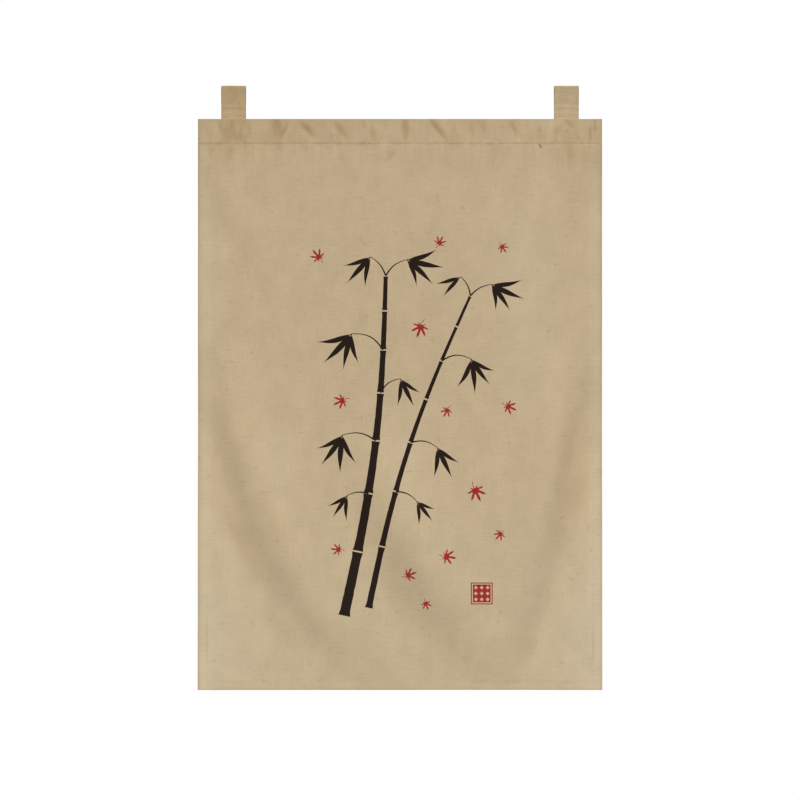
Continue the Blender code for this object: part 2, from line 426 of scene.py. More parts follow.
@dataclass
class ClothForm:
    """The shape in which the panel hangs: its folds, creases, hems and lines of stitches."""

    width: float
    length: float
    top: float
    tab_centres: tuple[float, float]
    tab_width: float
    heading: float = 0.0518
    side_hem: float = 0.020
    bottom_hem: float = 0.018
    cloth: float = 0.0010
    hem_cloth: float = 0.0018
    heading_cloth: float = 0.0022
    hem_turn: float = 0.0010
    past_stitches: float = 0.0008
    folds_start: float = 0.058
    folds_full: float = 0.200
    edge_round: float = 0.0009
    edge_sink: float = 0.0004
    groove_depth: float = 0.00040
    groove_width: float = 0.0012
    hem_groove: float = 0.15
    gather_height: float = 0.00085
    gather_above: float = 0.012
    gather_below: float = 0.055
    fine_gathers: Lumps = Lumps(0.0062, 0.060, 4.7)
    broad_gathers: Lumps = Lumps(0.01426, 0.090, 9.1)
    broad_share: float = 0.6
    unevenness: float = 0.00050
    uneven_lumps: Lumps = Lumps(0.055, 0.085, 2.3)
    tail_imprint: float = 0.00045
    tail_drop: float = 0.048
    tail_softness: float = 0.0030
    foot_lift: float = 0.0004
    foot_sag: float = 0.0013
    sag_start: float = 0.85
    foot_narrowing: float = 0.0012
    narrowing_start: float = 0.65

    def from_side(self, across: Array) -> Array:
        """Distance of each place to the nearer side edge."""
        return self.width / 2 - np.abs(across)

    def into_edge(self, across: Array, drop: Array) -> Array:
        """How far into the rounding of an outer edge each place is, from 0 to 1 at the edge."""
        distance = np.minimum(self.from_side(across), np.minimum(drop, self.length - drop))
        return near_edge(distance, self.edge_round)

    def groove(self, across: Array, drop: Array) -> Array:
        """How deep in a line of stitches each place is.

        Args:
            across: Places across the cloth.
            drop: Places down the cloth.

        Returns:
            From 0 to 1 in the heading's line, and to the hem's share of that in a hem's.
        """
        to_side = np.where(drop > self.heading, self.from_side(across) - self.side_hem, 1.0)
        to_foot = self.length - self.bottom_hem - drop
        near = np.minimum(np.abs(to_side), np.abs(to_foot))
        in_hems = self.hem_groove * bell(near, self.groove_width)
        return np.maximum(bell(drop - self.heading, self.groove_width), in_hems)

    def gathers(self, across: Array, drop: Array) -> Array:
        """The fine upright puckers that the heading's stitches draw into the cloth.

        Args:
            across: Places across the cloth.
            drop: Places down the cloth.

        Returns:
            The lift at each place.
        """
        away = drop - self.heading
        reach = np.where(away < 0, self.gather_above, self.gather_below)
        waves = self.fine_gathers.at(across, drop)
        waves += self.broad_share * self.broad_gathers.at(across, drop)
        return self.gather_height * waves * np.exp(-np.abs(away) / reach)

    def behind_heading(self, centre: float, across: Array, drop: Array) -> Array:
        """How far one tab's tail shows through the heading.

        Args:
            centre: The tab's middle.
            across: Places across the cloth.
            drop: Places down the cloth.

        Returns:
            1 where the tail lies behind a place, and 0 away from it.
        """
        soft = self.tail_softness
        inside = self.tab_width / 2 - np.abs(across - centre)
        above = 1 - smooth_step(self.tail_drop - soft, self.tail_drop + soft, drop)
        return smooth_step(-soft, soft, inside) * above

    def front(self, across: Array, drop: Array) -> Array:
        """The depth of the cloth's front face.

        Args:
            across: Places across the cloth.
            drop: Places down the cloth.

        Returns:
            The y of each place.
        """
        slack = sum(shape.at(across, drop) for shape in FOLDS + SWELLS)
        lift = slack * smooth_step(self.folds_start, self.folds_full, drop)
        lift = lift + sum(crease.at(across, drop) for crease in CREASES)
        lift += self.gathers(across, drop)
        lift += self.unevenness * self.uneven_lumps.at(across, drop)
        for centre in self.tab_centres:
            lift += self.tail_imprint * self.behind_heading(centre, across, drop)
        lift -= self.groove_depth * self.groove(across, drop)
        lift -= self.edge_sink * self.into_edge(across, drop) ** 2
        return -self.heading_cloth - lift

    def thickness(self, across: Array, drop: Array) -> Array:
        """The thickness of the cloth, with what is turned over at its edges.

        Args:
            across: Places across the cloth.
            drop: Places down the cloth.

        Returns:
            The thickness at each place.
        """
        beyond_side = self.from_side(across) - self.side_hem - self.past_stitches
        beyond_foot = self.length - drop - self.bottom_hem - self.past_stitches
        turned = 1 - smooth_step(0.0, self.hem_turn, np.minimum(beyond_side, beyond_foot))
        head = 1 - smooth_step(0.0, self.hem_turn, drop - self.heading - self.past_stitches)
        layers = self.cloth + (self.hem_cloth - self.cloth) * turned
        layers = layers + (self.heading_cloth - layers) * head
        layers -= self.groove_depth * self.groove(across, drop)
        return layers - 2 * self.edge_sink * self.into_edge(across, drop) ** 2

    def points(self, across: Array, drop: Array) -> Array:
        """The front face in the frame.

        Args:
            across: Places across the cloth.
            drop: Places down the cloth.

        Returns:
            One row of x, y and z for each place.
        """
        middle = 1 - (across / (self.width / 2)) ** 2
        near_foot = smooth_step(self.sag_start * self.length, self.length, drop)
        sag = (self.foot_sag * middle - self.foot_lift) * near_foot
        narrowed = smooth_step(self.narrowing_start * self.length, self.length, drop)
        drawn_in = across * (1 - self.foot_narrowing * narrowed)
        return np.column_stack((drawn_in, self.front(across, drop), self.top - drop - sag))


@dataclass
class ClothShade:
    """How much shade is painted on the hanging cloth, where 1 is its dimmest tint and values below the plain
    level are painted light.

    A reach is how far a darkening spreads, and two values are for the left and the right.
    """

    form: ClothForm
    plain: float = 0.30
    side_edge: float = 0.80
    side_reaches: tuple[float, float] = (0.0036, 0.0024)
    heading_ease: float = 0.4
    foot_edge: float = 0.70
    foot_reach: float = 0.0013
    top_edge: float = 0.45
    top_reach: float = 0.0011
    seam: float = 0.38
    seam_change: float = 0.55
    seam_lumps: Lumps = Lumps(0.022, 0.3, 31.0)
    seam_drop: float = 0.0012
    seam_reach: float = 0.0022
    crease: float = 0.66
    full_crease: float = 0.0018
    gather: float = 0.26
    palest_gather: float = -0.6
    in_heading: float = 0.17
    cloud: float = 0.13
    broad_clouds: Lumps = Lumps(0.034, 0.026, 17.0)
    upright_clouds: Lumps = Lumps(0.0065, 0.028, 43.0)
    upright_share: float = 0.9
    hem_paleness: float = 0.15
    paleness_drops: tuple[float, float] = (0.060, 0.250)
    under_heading: float = 0.06
    under_drops: tuple[float, float] = (0.050, 0.300)
    tails: tuple[float, float] = (0.50, 0.28)
    tail_fading: float = 0.55

    def at(self, across: Array, drop: Array) -> Array:
        """Painted shade in seams, over the doubled heading and tails, in creases, gathers and under the
        heading, at the edges and in patches; painted light on hems and pale patches.

        Args:
            across: Places across the cloth.
            drop: Places down the cloth.

        Returns:
            The darkening at each place.
        """
        form = self.form
        in_heading = 1 - smooth_step(form.heading - 0.0005, form.heading + 0.0015, drop)
        in_side_hem = 1 - smooth_step(0.002, 0.010, form.from_side(across) - form.side_hem)
        reach = np.where(across < 0, *self.side_reaches)
        into_side = np.exp(-form.from_side(across) / reach)
        into_foot = np.exp((drop - form.length) / self.foot_reach)
        into_top = np.exp(-drop / self.top_reach)
        # Painted shade in the heading seam's groove, uneven along the line.
        uneven = self.seam + self.seam_change * self.seam_lumps.at(across, drop)
        seam = uneven * bell(drop - form.heading - self.seam_drop, self.seam_reach)
        # Painted shade in the creases' and gathers' troughs, and painted light on the gathers' ridges.
        troughs = sum(np.minimum(crease.at(across, drop), 0.0) for crease in CREASES)
        creased = np.clip(-troughs / self.full_crease, 0.0, 1.0)
        gathered = np.clip(-form.gathers(across, drop) / form.gather_height, self.palest_gather, 1.0)
        cloudy = self.broad_clouds.at(across, drop)
        cloudy += self.upright_share * self.upright_clouds.at(across, drop)
        # Painted shade along the outer edges, over the doubled heading and under it; painted light over the
        # side hems.
        total = self.plain + seam
        total -= self.hem_paleness * smooth_step(*self.paleness_drops, drop) * in_side_hem
        total += self.side_edge * into_side * (1 - self.heading_ease * in_heading)
        total += self.foot_edge * into_foot + self.top_edge * into_top
        total += in_heading * (self.in_heading + self.cloud * cloudy)
        total += self.crease * creased + self.gather * gathered
        total += self.under_heading * (1 - smooth_step(*self.under_drops, drop)) * (1 - in_heading)
        # Painted shade and painted light from the patches.
        total += sum(patch.at(across, drop) for patch in PAINTED_LIGHT_PATCHES)
        # Painted shade where each tab's tail lies behind the heading.
        fading = 1 - self.tail_fading * np.clip(drop / form.tail_drop, 0.0, 1.0)
        for centre, tail in zip(form.tab_centres, self.tails):
            total += tail * form.behind_heading(centre, across, drop) * fading * (0.8 + 0.7 * cloudy)
        return total


class Ink(Enum):
    """What a printed shape is filled with."""

    BARE = 0
    BLACK = 1
    RED = 2


@dataclass(frozen=True)
class Motif:
    """One printed shape: its outline on the cloth and its ink. A later one covers an earlier one."""

    outline: Outline
    ink: Ink


def stroke(centres: Array, halves: Array, wobble: float = 0.0) -> Outline:
    """The outline of a brush stroke.

    Args:
        centres: Points along the stroke's middle.
        halves: Half of the stroke's width at each point.
        wobble: Share by which the stroke's sides waver.

    Returns:
        The outline, down one side and back up the other.
    """
    ahead = unit(np.gradient(centres, axis=0))
    beside = np.column_stack((-ahead[:, 1], ahead[:, 0]))
    sides = []
    for sign, seed in ((1, 0.3), (-1, 5.9)):
        waver = 1 + wobble * Lumps(0.006, 0.006, seed).at(centres[:, 0], centres[:, 1])
        sides.append(centres + sign * beside * (halves * waver)[:, None])
    outline = np.vstack((sides[0], sides[1][::-1]))
    return [tuple(point) for point in outline.tolist()]


def bowed_line(start: Array, end: Array, bow: float, shares: Array) -> Array:
    """Points at shares of the way to the end, bowed to one side by a share of the distance."""
    run = end - start
    beside = np.array((-run[1], run[0]))
    return start + shares[:, None] * run + (bow * np.sin(math.pi * shares))[:, None] * beside


@dataclass(frozen=True)
class Cane:
    """A bamboo cane in ink: segments with a narrow bare ring between them, flared at each end."""

    foot: tuple[float, float]
    tip: tuple[float, float]
    bow: float
    foot_width: float
    tip_width: float
    joints: int
    shortening: float = 0.90
    ring: float = 0.0016
    flare: float = 0.20
    flare_reach: float = 0.05
    wobble: float = 0.08
    stations: int = 13

    def middle(self, shares: Array) -> Array:
        """Points on the cane's middle, at shares of its height from foot to tip."""
        return bowed_line(np.array(self.foot), np.array(self.tip), self.bow, shares)

    def joint_shares(self) -> Array:
        """Where the rings are, as shares of the height: the segments shorten towards the tip."""
        lengths = self.shortening ** np.arange(self.joints + 1)
        return np.concatenate(((0.0,), np.cumsum(lengths) / lengths.sum()))

    def motifs(self) -> list[Motif]:
        """One printed shape for each segment.

        Returns:
            The shapes, from the foot up.
        """
        gap = self.ring / math.dist(self.foot, self.tip)
        shares = self.joint_shares()
        along = np.linspace(0.0, 1.0, self.stations)
        flared = 1 + self.flare * (bell(along, self.flare_reach) + bell(1 - along, self.flare_reach))
        shapes = []
        for low, high in zip(shares[:-1], shares[1:]):
            places = low + gap + along * (high - low - 2 * gap)
            plain = self.foot_width + (self.tip_width - self.foot_width) * places
            shapes.append(Motif(stroke(self.middle(places), plain / 2 * flared, self.wobble), Ink.BLACK))
        return shapes


@dataclass(frozen=True)
class Spray:
    """A twig that grows from one joint of a cane, with a fan of slender bamboo leaves at its end.

    Its reach is from the joint to the twig's end, and its heading is in degrees from straight down.
    """

    cane: int
    joint: int
    reach: tuple[float, float]
    bow: float
    heading: float
    leaf_length: float
    leaves: int
    spread: float = 30.0
    twig_width: float = 0.0034
    twig_taper: float = 0.62
    leaf_slimness: float = 0.150
    leaf_bow: float = 0.05
    petiole: float = 0.0045
    thinnest: float = 0.00045

    def leaf(self, start: Array, heading: float, length: float, bow: float) -> Motif:
        """One leaf, drawn out to a point at its tip.

        Args:
            start: The twig's end.
            heading: Where the leaf points, in degrees from straight down.
            length: The leaf's length with its stalk.
            bow: How far it is bowed to one side, as a share of its length.

        Returns:
            The leaf's shape.
        """
        turn = math.radians(heading)
        shares = np.linspace(0.0, 1.0, 17)
        tip = start + length * np.array((math.sin(turn), math.cos(turn)))
        blade = np.clip((shares * length - self.petiole) / (length - self.petiole), 0.0, 1.0)
        halves = self.leaf_slimness * length / 2 * np.sin(math.pi * blade**0.72) ** 1.2
        halves = np.maximum(halves, self.thinnest * (1 - shares / 2))
        return Motif(stroke(bowed_line(start, tip, bow, shares), halves, 0.05), Ink.BLACK)

    def motifs_from(self, joint: Array) -> list[Motif]:
        """The twig, then its leaves, the outer ones shorter than the middle ones.

        Args:
            joint: The place of the cane's joint from which the twig grows.

        Returns:
            The shapes, the twig's first.
        """
        end = joint + np.array(self.reach)
        shares = np.linspace(0.0, 1.0, 9)
        halves = self.twig_width / 2 * (1 - self.twig_taper * shares)
        shapes = [Motif(stroke(bowed_line(joint, end, self.bow, shares), halves, 0.10), Ink.BLACK)]
        for number in range(self.leaves):
            side = number - (self.leaves - 1) / 2
            uneven = 1 + 0.09 * math.sin(5 * side + self.heading)
            length = self.leaf_length * (1 - 0.12 * abs(side)) * uneven
            turned = self.heading + self.spread * side * uneven
            shapes.append(self.leaf(end, turned, length, self.leaf_bow * side))
        return shapes


@dataclass(frozen=True)
class MapleLeaf:
    """A fallen maple leaf in red: seven pointed lobes round a stalk. Its heading is its tip's.

    A lobe is its turn from the tip and its share of the size. A side point is a turn from its
    lobe's middle and a share of the lobe's reach.
    """

    across: float
    drop: float
    heading: float
    size: float
    stalk: float = 0.62
    notch: float = 0.30
    lobes: Pairs = ((-130, 0.42), (-87, 0.68), (-43, 0.90), (0, 1.0), (43, 0.90), (87, 0.68), (130, 0.42))
    sides: Pairs = ((-12.0, 0.44), (-8.5, 0.72), (0.0, 1.0), (8.5, 0.72), (12.0, 0.44))

    def place(self, turn: float, reach: float) -> tuple[float, float]:
        """A point at a turn from the tip and a share of the size from the leaf's heart."""
        angle = math.radians(self.heading + turn)
        out = self.size * reach
        return (self.across + out * math.sin(angle), self.drop + out * math.cos(angle))

    def motifs(self) -> list[Motif]:
        """The stalk and the blade.

        Returns:
            The two shapes.
        """
        blade = [self.place(-180.0, 0.12)]
        for turn, reach in self.lobes:
            if turn > self.lobes[0][0]:
                blade.append(self.place(turn - 22.0, self.notch * (0.75 + 0.25 * reach)))
            blade += [self.place(turn + aside, reach * out) for aside, out in self.sides]
        foot, heart = np.array(self.place(172.0, self.stalk)), np.array(self.place(0.0, 0.05))
        line = bowed_line(foot, heart, 0.10, np.linspace(0.0, 1.0, 7))
        stalk = stroke(line, np.full(len(line), 0.020 * self.size + 0.0002))
        return [Motif(stalk, Ink.RED), Motif(blade, Ink.RED)]


@dataclass(frozen=True)
class Stamp:
    """A plain square red stamp: a thin frame round a block with a lattice of bare lozenges."""

    across: float
    drop: float
    side: float = 0.046
    frame: float = 0.0022
    gap: float = 0.0022
    lozenges: int = 3
    lozenge_share: float = 0.66

    def shape(self, right: float, down: float, corners: Pairs, half: float, ink: Ink) -> Motif:
        """A shape round a place on the stamp.

        Args:
            right: The place's distance to the right of the stamp's middle.
            down: Its distance below the stamp's middle.
            corners: The shape's corners, as multiples of its half size.
            half: Its half size.
            ink: What it is filled with.

        Returns:
            The shape.
        """
        across, drop = self.across + right, self.drop + down
        return Motif([(across + side * half, drop + below * half) for side, below in corners], ink)

    def motifs(self) -> list[Motif]:
        """The frame, the block and its lozenges, each over the one before.

        Returns:
            The shapes.
        """
        square, lozenge = ((-1, -1), (1, -1), (1, 1), (-1, 1)), ((-1, 0), (0, -1), (1, 0), (0, 1))
        block = self.side - 2 * (self.frame + self.gap)
        sizes = ((self.side, Ink.RED), (self.side - 2 * self.frame, Ink.BARE), (block, Ink.RED))
        shapes = [self.shape(0.0, 0.0, square, size / 2, ink) for size, ink in sizes]
        pitch = block / self.lozenges
        steps = [(number - (self.lozenges - 1) / 2) * pitch for number in range(self.lozenges)]
        half = pitch / 2 * self.lozenge_share
        shapes += [self.shape(right, down, lozenge, half, Ink.BARE) for down in steps for right in steps]
        return shapes


@dataclass
class BambooPrint:
    """The print: two bamboo canes with leafy twigs, maple leaves drifting past and a stamp."""

    canes: tuple[Cane, ...] = tuple(Cane(*row) for row in (
        # foot, tip, bow, foot_width, tip_width, joints
        ((-0.118, 1.046), (-0.030, 0.330), 0.030, 0.0215, 0.0085, 6),
        ((-0.066, 1.030), (0.148, 0.372), -0.035, 0.0135, 0.0055, 6),
    ))
    sprays: tuple[Spray, ...] = tuple(Spray(*row) for row in (
        # cane, joint, reach, bow, heading, leaf_length, leaves
        (0, 7, (0.044, -0.034), -0.12, 62.0, 0.078, 4),
        (0, 7, (-0.032, -0.040), 0.10, -42.0, 0.068, 3),
        (0, 5, (-0.066, -0.034), 0.16, -28.0, 0.084, 4),
        (0, 4, (0.042, -0.030), -0.14, 26.0, 0.060, 3),
        (0, 3, (-0.070, -0.012), 0.14, -20.0, 0.078, 4),
        (0, 2, (-0.044, 0.004), 0.10, -34.0, 0.058, 3),
        (1, 7, (0.044, -0.024), -0.10, 50.0, 0.074, 4),
        (1, 7, (-0.020, -0.040), 0.10, -58.0, 0.054, 2),
        (1, 5, (0.062, -0.004), -0.16, 22.0, 0.074, 4),
        (1, 3, (0.056, 0.010), -0.14, 26.0, 0.066, 3),
        (1, 2, (0.044, 0.020), -0.12, 38.0, 0.052, 3),
    ))
    maples: tuple[MapleLeaf, ...] = tuple(MapleLeaf(*row) for row in (
        # across, drop, heading, size
        (0.082, 0.262, 150.0, 0.0185),
        (-0.17, 0.292, -140.0, 0.0225),
        (0.214, 0.268, 35.0, 0.017),
        (0.044, 0.436, -20.0, 0.0265),
        (-0.12, 0.592, -65.0, 0.023),
        (0.226, 0.604, 65.0, 0.022),
        (0.1, 0.612, -30.0, 0.018),
        (-0.128, 0.906, -95.0, 0.019),
        (0.158, 0.78, 25.0, 0.028),
        (0.212, 0.872, -40.0, 0.018),
        (0.096, 0.92, 80.0, 0.024),
        (0.016, 0.96, 110.0, 0.021),
        (0.054, 1.018, 20.0, 0.0165),
    ))
    stamp: Stamp = Stamp(0.172, 0.998)

    def motifs(self) -> list[Motif]:
        """Every printed shape.

        Returns:
            The shapes, in the order in which they are laid down.
        """
        shapes = [motif for cane in self.canes for motif in cane.motifs()]
        for spray in self.sprays:
            cane = self.canes[spray.cane]
            shapes += spray.motifs_from(cane.middle(cane.joint_shares())[spray.joint])
        shapes += [motif for maple in self.maples for motif in maple.motifs()]
        return shapes + self.stamp.motifs()


def facing_up(outline: Outline) -> Outline:
    """The outline, turned to run anticlockwise."""
    following = outline[1:] + outline[:1]
    doubled = sum(one[0] * two[1] - two[0] * one[1] for one, two in zip(outline, following))
    return outline if doubled > 0 else outline[::-1]


class Bench:
    """Adds and joins the shader nodes of one material."""

    def __init__(self, name: str) -> None:
        """Starts a material that has only its principled shader and its output."""
        self.material = bpy.data.materials.new(name)
        self.material.use_nodes = True
        self.tree = self.material.node_tree
        self.shader = self.tree.nodes["Principled BSDF"]

    def fill(self, node: bpy.types.Node, inputs: dict) -> None:
        """Joins an output to each socket that is named or numbered, or sets the socket's own value."""
        for key, value in inputs.items():
            if isinstance(value, Socket):
                self.tree.links.new(value, node.inputs[key])
            else:
                node.inputs[key].default_value = value

    def add(self, kind: str, inputs: dict, **settings: object) -> bpy.types.NodeOutputs:
        """Adds a node.

        Args:
            kind: The node's type, without the words with which all of them begin.
            inputs: What goes to its sockets.
            settings: Its own settings.

        Returns:
            Its outputs.
        """
        node = self.tree.nodes.new("ShaderNode" + kind)
        for name, value in settings.items():
            setattr(node, name, value)
        self.fill(node, inputs)
        return node.outputs

    def math(self, operation: str, *values: object) -> Socket:
        """A sum or other function of one to three values."""
        return self.add("Math", dict(enumerate(values)), operation=operation)[0]

    def ramp(self, value: object, low: float, high: float, start: float, end: float) -> Socket:
        """Maps low to start and high to end, with a smooth rise between them."""
        inputs = dict(enumerate((value, low, high, start, end)))
        return self.add("MapRange", inputs, interpolation_type="SMOOTHSTEP")[0]

    def noise(
        self, place: Socket, scale: float, detail: float, roughness: float = 0.5
    ) -> bpy.types.NodeOutputs:
        """Smooth flat noise, as a value and as a colour."""
        inputs = {"Vector": place, "Scale": scale, "Detail": detail, "Roughness": roughness}
        return self.add("TexNoise", inputs, noise_dimensions="2D")

    def lumps(
        self,
        place: Socket,
        scale: tuple[float, float],
        shift: float,
        detail: float = 0.0,
        roughness: float = 0.5,
    ) -> Socket:
        """Smooth noise that is stretched one way.

        Args:
            place: The place on the cloth.
            scale: How many lumps there are to a metre, across and down.
            shift: Picks one patch of the noise.
            detail: How many finer layers it has.
            roughness: How strong the finer layers are.

        Returns:
            A value from 0 to 1.
        """
        inputs = {"Vector": place, "Scale": (*scale, 1.0), "Location": (shift, shift * 0.7, 0.0)}
        return self.noise(self.add("Mapping", inputs)[0], 1.0, detail, roughness)[0]

    def mixed(self, share: object, *ends: Socket | Colour) -> Socket:
        """A mix of two colours."""
        first, second = (end if isinstance(end, Socket) else (*end, 1.0) for end in ends)
        return self.add("Mix", {"Factor": share, "A": first, "B": second}, data_type="RGBA")["Result"]

    def relief(self, height: Socket, depth: float, strength: float = 1.0) -> Socket:
        """Fine relief on the surface, from a height."""
        return self.add("Bump", {"Strength": strength, "Distance": depth, "Height": height})[0]


@dataclass(frozen=True)
class Linen:
    """Natural linen in plain weave, with slubs along both threads and sparse brown fibres.

    Lumps are counted to a metre, across and down. Where the linen carries ink, ink_share says how
    much of the cloth's colour the ink takes.
    """

    name: str
    colour: Colour = (0.616, 0.486, 0.310)
    dim_tint: Colour = (0.745, 0.660, 0.545)
    # foot_tint and foot_fade paint a cooler light towards the foot.
    foot_tint: Colour = (0.947, 0.970, 1.002)
    foot_fade: tuple[float, float] = (0.70, 1.05)
    ink: Colour = (0.0, 0.0, 0.0)
    ink_share: float = 0.0
    thread_pitch: float = 0.00115
    thread_wander: float = 0.00045
    wander_lumps: float = 140.0
    weave_contrast: float = 0.035
    weft_lumps: tuple[float, float] = (26.0, 780.0)
    warp_lumps: tuple[float, float] = (700.0, 22.0)
    weft_share: float = 0.58
    slub_contrast: float = 0.105
    blotch_lumps: tuple[float, float] = (22.0, 17.0)
    blotch_contrast: float = 0.055
    fibre_share: float = 0.17
    fibre: Colour = (0.19, 0.105, 0.050)
    fibre_lumps: tuple[tuple[float, float], ...] = ((19.0, 88.0), (31.0, 64.0))
    fibre_shifts: tuple[float, ...] = (21.0, 93.0)
    fibre_width: tuple[float, float] = (0.004, 0.023)
    fibre_patches: tuple[float, float] = (56.0, 66.0)
    fibre_sparseness: tuple[float, float] = (0.62, 0.70)
    roughness: float = 0.92
    specular: float = 0.25
    sheen: float = 0.15
    relief: float = 0.00022

    def weave(self, bench: Bench, place: Socket) -> Socket:
        """The crossing threads.

        Args:
            bench: The material's bench.
            place: The place on the cloth.

        Returns:
            From -1 where a thread dips to 1 where one rises.
        """
        wander = bench.noise(place, self.wander_lumps, 1.0)["Color"]
        reach = (self.thread_wander * 2, self.thread_wander * 2, 0.0)
        shifted = bench.add("VectorMath", {0: wander, 1: reach, 2: place}, operation="MULTIPLY_ADD")[0]
        parts = bench.add("SeparateXYZ", {0: shifted})[:2]
        turns = math.pi / self.thread_pitch
        waves = [bench.math("SINE", bench.math("MULTIPLY", part, turns)) for part in parts]
        return bench.math("MULTIPLY", *waves)

    def slubs(self, bench: Bench, place: Socket) -> Socket:
        """Thick and thin places of the threads, as streaks along both of their directions."""
        weft = bench.math("MULTIPLY", bench.lumps(place, self.weft_lumps, 3.0, 2.0, 0.6), self.weft_share)
        warp = bench.lumps(place, self.warp_lumps, 8.0, 2.0, 0.6)
        return bench.math("MULTIPLY_ADD", warp, 1 - self.weft_share, weft)

    def fibres(self, bench: Bench, place: Socket) -> Socket:
        """Sparse thin curls of brown fibre.

        Args:
            bench: The material's bench.
            place: The place on the cloth.

        Returns:
            1 on a fibre and 0 beside it.
        """
        found = []
        for lumps, shift in zip(self.fibre_lumps, self.fibre_shifts):
            off_line = bench.math("ABSOLUTE", bench.math("SUBTRACT", bench.lumps(place, lumps, shift), 0.5))
            patches = bench.lumps(place, self.fibre_patches, shift + 34.0)
            line = bench.ramp(off_line, *self.fibre_width, 1.0, 0.0)
            found.append(bench.math("MULTIPLY", line, bench.ramp(patches, *self.fibre_sparseness, 0.0, 1.0)))
        return bench.math("MAXIMUM", *found)

    def tone(self, bench: Bench, place: Socket, weave: Socket, slubs: Socket) -> Socket:
        """How light the bare cloth is from thread to thread and from patch to patch.

        Args:
            bench: The material's bench.
            place: The place on the cloth.
            weave: The crossing threads.
            slubs: The threads' thick and thin places.

        Returns:
            A factor of about 1.
        """
        blotches = bench.lumps(place, self.blotch_lumps, 40.0, 3.0)
        factors = [bench.math("MULTIPLY_ADD", weave, self.weave_contrast, 1.0)]
        for pattern, contrast in ((slubs, self.slub_contrast), (blotches, self.blotch_contrast)):
            factors.append(bench.ramp(pattern, 0.30, 0.70, 1 - contrast / 2, 1 + contrast / 2))
        return bench.math("MULTIPLY", bench.math("MULTIPLY", *factors[:2]), factors[2])

    def painted_foot_light(self, bench: Bench, place: Socket) -> Socket:
        """A cooler, slightly dimmer tint towards the foot of the panel: painted light, for how the light
        falls there.
        """
        begin, full = self.foot_fade
        share = bench.ramp(bench.add("SeparateXYZ", {0: place})[1], -full, -begin, 1.0, 0.0)
        return bench.mixed(share, (1.0, 1.0, 1.0), self.foot_tint)

    def make(self) -> bpy.types.Material:
        """Builds the material.

        Returns:
            The finished material.
        """
        bench = Bench(self.name)
        place = bench.add("UVMap", {}, uv_map=CLOTH_MAP)[0]
        weave, slubs = self.weave(bench, place), self.slubs(bench, place)
        # Painted shade: the shade attribute dims the colour towards its dim tint.
        shade = bench.add("Attribute", {}, attribute_name=SHADE)["Fac"]
        dimmed = tuple(part * tint for part, tint in zip(self.colour, self.dim_tint))
        shaded = bench.mixed(shade, self.colour, dimmed)
        cast = self.painted_foot_light(bench, place)
        tinted = bench.add("VectorMath", {0: shaded, 1: cast}, operation="MULTIPLY")[0]
        tone = self.tone(bench, place, weave, slubs)
        toned = bench.add("VectorMath", {0: tinted, "Scale": tone}, operation="SCALE")[0]
        fibre_share = bench.math("MULTIPLY", self.fibres(bench, place), self.fibre_share)
        final = bench.mixed(fibre_share, toned, self.fibre)
        if self.ink_share > 0:
            soaked = bench.ramp(weave, -1.0, 1.0, self.ink_share, self.ink_share - 0.02)
            final = bench.mixed(soaked, final, self.ink)
        height = bench.math("MULTIPLY_ADD", slubs, 1.3, bench.math("MULTIPLY", weave, 0.35))
        bench.fill(bench.shader, {
            "Base Color": final,
            "Roughness": bench.ramp(slubs, 0.3, 0.7, self.roughness + 0.05, self.roughness - 0.05),
            "Specular IOR Level": self.specular,
            "Sheen Weight": self.sheen,
            "Sheen Roughness": 0.45,
            "Normal": bench.relief(height, self.relief, 0.7),
        })
        return bench.material


@dataclass(frozen=True)
class SewingThread:
    """Twisted cotton thread. Its twist is drawn as bands of its darker colour, painted shade in the grooves
    of the twist, and as relief.
    """

    name: str = "sewing thread"
    colour: Colour = (0.375, 0.282, 0.165)
    dark: Colour = (0.250, 0.180, 0.100)
    twist_pitch: float = 0.00055
    unevenness: float = 1.5
    roughness: float = 0.78
    sheen: float = 0.2
    relief: float = 0.00008

    def make(self) -> bpy.types.Material:
        """Builds the material.

        Returns:
            The finished material.
        """
        bench = Bench(self.name)
        scale = 2 * math.pi / (20 * self.twist_pitch)
        place = bench.add("TexCoord", {})["Object"]
        inputs = {"Vector": place, "Scale": scale, "Distortion": self.unevenness}
        bands = bench.add("TexWave", inputs, bands_direction="DIAGONAL")["Fac"]
        bench.fill(bench.shader, {
            "Base Color": bench.mixed(bands, self.dark, self.colour),
            "Roughness": self.roughness,
            "Sheen Weight": self.sheen,
            "Normal": bench.relief(bands, self.relief),
        })
        return bench.material


